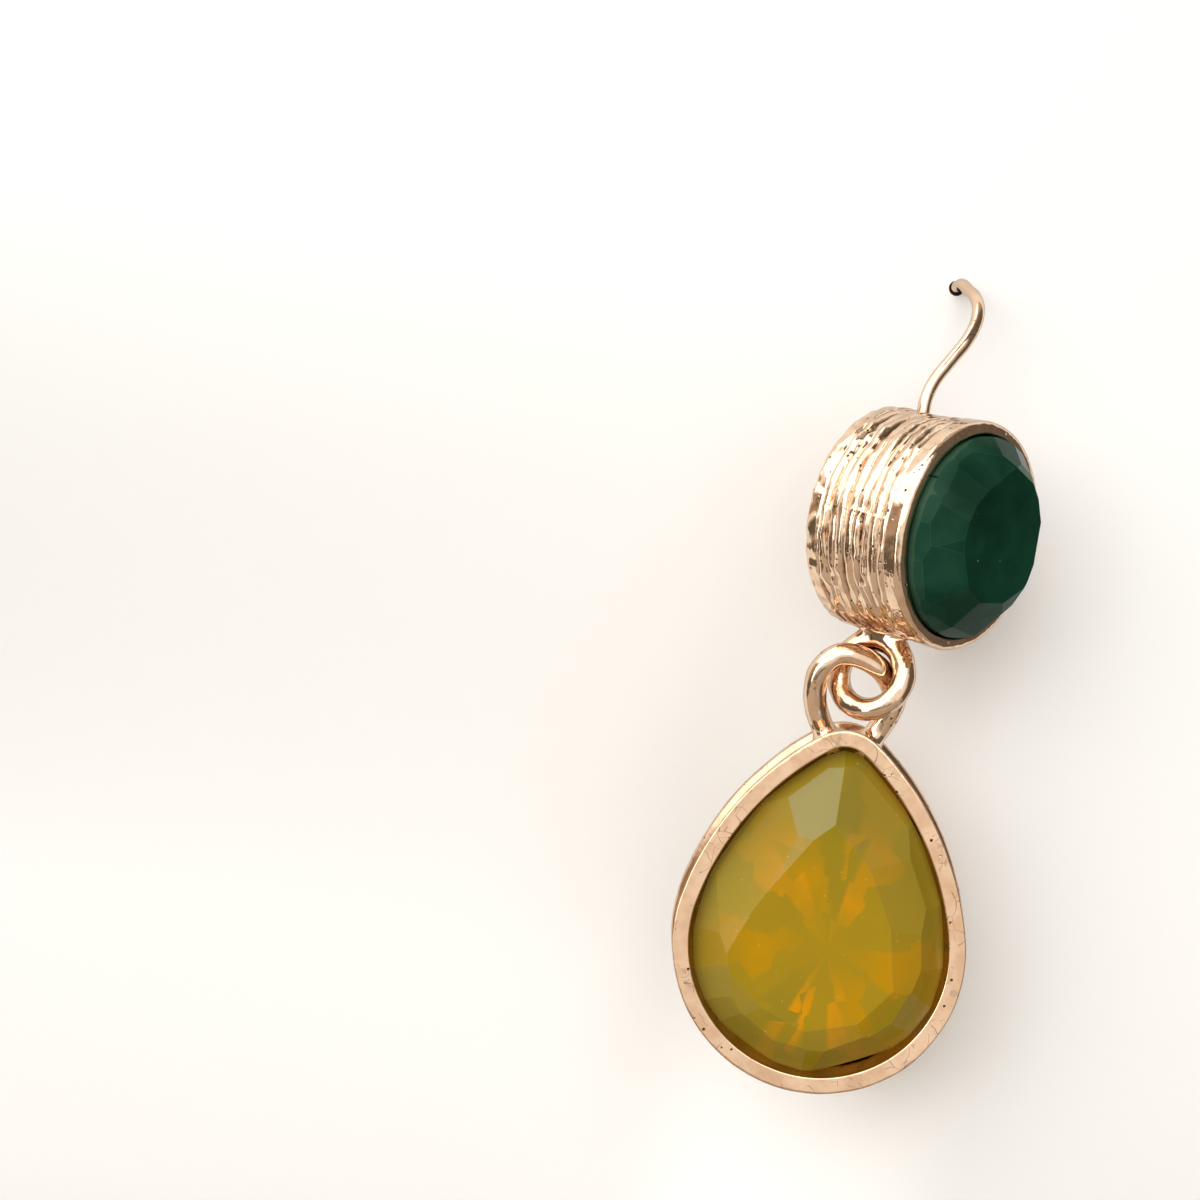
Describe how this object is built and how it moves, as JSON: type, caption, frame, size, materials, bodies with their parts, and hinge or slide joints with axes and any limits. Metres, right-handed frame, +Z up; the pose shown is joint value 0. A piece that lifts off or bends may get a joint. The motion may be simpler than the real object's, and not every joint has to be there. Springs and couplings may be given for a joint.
{
  "type": "drop earring",
  "caption": "Rose gold drop earring: an ear hook on a deep ribbed oval setting with a green stone, and a pear-shaped amber drop on interlocked loops.",
  "frame": {"origin": "inside top of the hook's arch, where the earring hangs", "axes": "+Z up, the pear's front toward -Y, the hook's arch runs back toward +Y"},
  "size_m": [0.0185, 0.0204, 0.0525],
  "materials": {
    "rose_gold": "polished rose gold plate, lightly scratched",
    "green_stone": "polished opaque dark green stone, facet cut",
    "amber_stone": "polished translucent olive-amber stone with inclusions, facet cut"
  },
  "bodies": {
    "ear_top": {"hook_and_oval_setting": "rose_gold", "oval_stone": "green_stone"},
    "pear_drop": {"pear_setting": "rose_gold", "pear_stone": "amber_stone"}
  },
  "joints": [
    {"name": "drop_swing", "type": "hinge", "parent": "ear_top", "child": "pear_drop", "pos_m": [-0.00238, -0.0057, -0.02541], "axis": [-0.5802, -0.7957, 0.1736], "range_deg": [-40, 60]}
  ]
}
